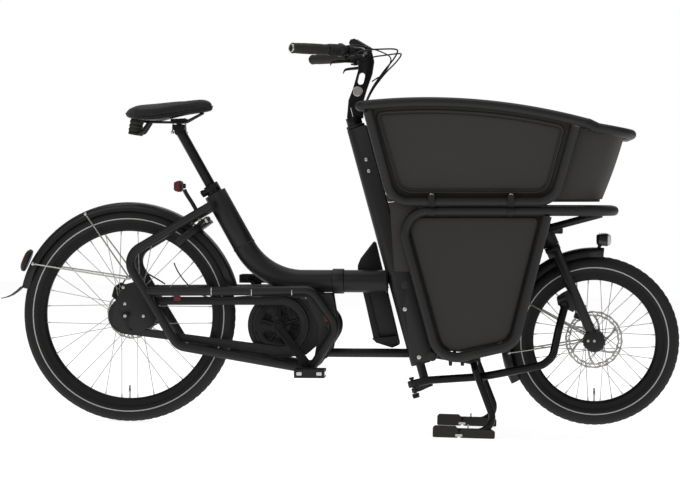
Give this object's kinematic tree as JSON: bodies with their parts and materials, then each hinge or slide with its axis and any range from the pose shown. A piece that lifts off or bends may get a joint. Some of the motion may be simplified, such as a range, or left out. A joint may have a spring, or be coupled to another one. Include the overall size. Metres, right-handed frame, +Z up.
{
  "type": "cargo bicycle",
  "caption": "Front-loading electric cargo bicycle with an open box between the handlebar and the small front wheel, linkage steering, a mid motor and a fold-down stand.",
  "frame": {"origin": "on the ground at the middle of the bicycle's box, with the bicycle standing on its rear tyre and the two feet of its stand", "axes": "+X forward, +Y to the rider's left, +Z up"},
  "size_m": [2.1203, 0.6768, 1.2095],
  "materials": {
    "frame_paint": "satin",
    "frame_tubes": "satin",
    "alloy": "satin",
    "steel": "satin",
    "black_alloy": "anodised",
    "box_shell": "grained",
    "black_plastic": "matte",
    "gloss_black": "gloss",
    "red_lens": "gloss",
    "tyre_rubber": "matte",
    "grip_rubber": "matte",
    "saddle_cover": "matte",
    "chain_steel": "oiled"
  },
  "bodies": {
    "main_frame": {"seat_tube": "frame_paint", "main_tube": "frame_paint", "frame_loops": "frame_paint", "frame_plates": "frame_paint", "column_housing": "frame_paint", "steering_bearings": "alloy", "side_cheeks": "frame_paint", "lower_tube": "frame_paint", "head_tube": "frame_paint", "box_loops": "frame_tubes", "bumper_tube": "frame_tubes", "box_cross_tubes": "frame_tubes", "box_rim": "frame_tubes", "nose_rim": "frame_tubes", "upper_loops": "frame_tubes", "lower_box": "box_shell", "upper_box": "box_shell", "box_clips": "black_plastic", "motor": "black_plastic", "battery": "black_plastic", "battery_cradle": "black_plastic", "chain_guard": "black_plastic", "chain": "chain_steel", "seat_collar": "black_alloy", "rear_mudguard": "black_plastic", "rear_lights": "red_lens", "lock_body": "black_plastic", "rear_caliper": "black_alloy", "rear_axle": "alloy", "stand_bracket": "frame_paint"},
    "lock_ring": {"lock_shackle": "steel"},
    "quick_release": {"collar_lever": "alloy"},
    "seat_unit": {"seat_post": "black_alloy", "saddle_rails": "black_alloy", "saddle": "saddle_cover"},
    "handlebar_unit": {"steering_shaft": "frame_paint", "stem": "black_alloy", "handlebar": "black_alloy", "grips": "grip_rubber", "cockpit": "black_plastic"},
    "twist_shifter": {"shift_grip": "black_plastic"},
    "right_lever": {"right_brake_lever": "black_plastic"},
    "left_lever": {"left_brake_lever": "black_plastic"},
    "link_rod": {"steering_rod": "frame_paint"},
    "fork_unit": {"fork": "frame_paint", "front_mudguard": "black_plastic", "headlight": "gloss_black"},
    "front_wheel_unit": {"front_wheel": "black_alloy", "front_tyre": "tyre_rubber", "front_spokes": "steel", "front_disc": "steel"},
    "rear_wheel_unit": {"rear_wheel": "black_alloy", "rear_tyre": "tyre_rubber", "rear_spokes": "steel", "rear_disc": "steel"},
    "cranks": {"crankset": "black_alloy"},
    "cog": {"sprocket": "alloy"},
    "pedal_right": {"right_pedal": "black_plastic"},
    "pedal_left": {"left_pedal": "black_plastic"},
    "stand": {"kickstand": "frame_paint"}
  },
  "joints": [
    {"name": "steering", "type": "hinge", "parent": "main_frame", "child": "handlebar_unit", "pos_m": [0.04456, 0, 0.94357], "axis": [-0.2849, 0, 0.9586], "range_deg": [-30, 25]},
    {"name": "fork_turn", "type": "hinge", "parent": "main_frame", "child": "fork_unit", "pos_m": [0.65232, 0, 0.59996], "axis": [-0.411, 0, 0.9116], "range_deg": [-30, 25]},
    {"name": "link_swing", "type": "hinge", "parent": "handlebar_unit", "child": "link_rod", "pos_m": [0.25368, -0.09951, 0.128], "axis": [-0.2776, 0.0255, 0.9604], "range_deg": [-26, 31]},
    {"name": "front_wheel_spin", "type": "hinge", "parent": "fork_unit", "child": "front_wheel_unit", "pos_m": [0.79916, 0, 0.29313], "axis": [0, 1, 0], "continuous": true},
    {"name": "rear_wheel_spin", "type": "hinge", "parent": "main_frame", "child": "rear_wheel_unit", "pos_m": [-0.65112, 0, 0.335], "axis": [0, 1, 0], "continuous": true},
    {"name": "crank_spin", "type": "hinge", "parent": "main_frame", "child": "cranks", "pos_m": [-0.1706, 0, 0.31665], "axis": [0, 1, 0], "continuous": true},
    {"name": "cog_spin", "type": "hinge", "parent": "main_frame", "child": "cog", "pos_m": [-0.65112, 0, 0.335], "axis": [0, 1, 0], "continuous": true},
    {"name": "right_pedal_spin", "type": "hinge", "parent": "cranks", "child": "pedal_right", "pos_m": [-0.06407, 0, 0.18161], "axis": [0, 1, 0], "continuous": true},
    {"name": "left_pedal_spin", "type": "hinge", "parent": "cranks", "child": "pedal_left", "pos_m": [-0.27713, 0, 0.45168], "axis": [0, 1, 0], "continuous": true},
    {"name": "stand_fold", "type": "hinge", "parent": "main_frame", "child": "stand", "pos_m": [0.43369, 0, 0.22001], "axis": [0, 1, 0], "range_deg": [0, 80]},
    {"name": "seat_height", "type": "slide", "parent": "main_frame", "child": "seat_unit", "axis": [-0.5086, 0, 0.861], "range_m": [-0.09, 0.02]},
    {"name": "seat_lever", "type": "hinge", "parent": "main_frame", "child": "quick_release", "pos_m": [-0.42444, -0.021, 0.7189], "axis": [0.5086, 0, -0.861], "range_deg": [0, 150]},
    {"name": "lock_turn", "type": "hinge", "parent": "main_frame", "child": "lock_ring", "pos_m": [-0.47204, 0, 0.58563], "axis": [-0.6194, 0, 0.7851], "range_deg": [0, 118]},
    {"name": "right_brake", "type": "hinge", "parent": "handlebar_unit", "child": "right_lever", "pos_m": [0.04846, -0.19332, 1.1297], "axis": [0.0222, 0, -0.9998], "range_deg": [0, 12], "stiffness_Nm_per_rad": 1},
    {"name": "left_brake", "type": "hinge", "parent": "handlebar_unit", "child": "left_lever", "pos_m": [0.04846, 0.19332, 1.1297], "axis": [-0.0222, 0, 0.9998], "range_deg": [0, 12], "stiffness_Nm_per_rad": 1},
    {"name": "shift_twist", "type": "hinge", "parent": "handlebar_unit", "child": "twist_shifter", "pos_m": [0.01998, -0.1953, 1.16308], "axis": [-0.7456, -0.6662, -0.0165], "range_deg": [-60, 60]}
  ],
  "couplings": [
    {"joint": "fork_turn", "follows": "steering", "ratio": 0.97595},
    {"joint": "link_swing", "follows": "steering", "ratio": -1.0063},
    {"joint": "cog_spin", "follows": "crank_spin", "ratio": 1.6739}
  ]
}
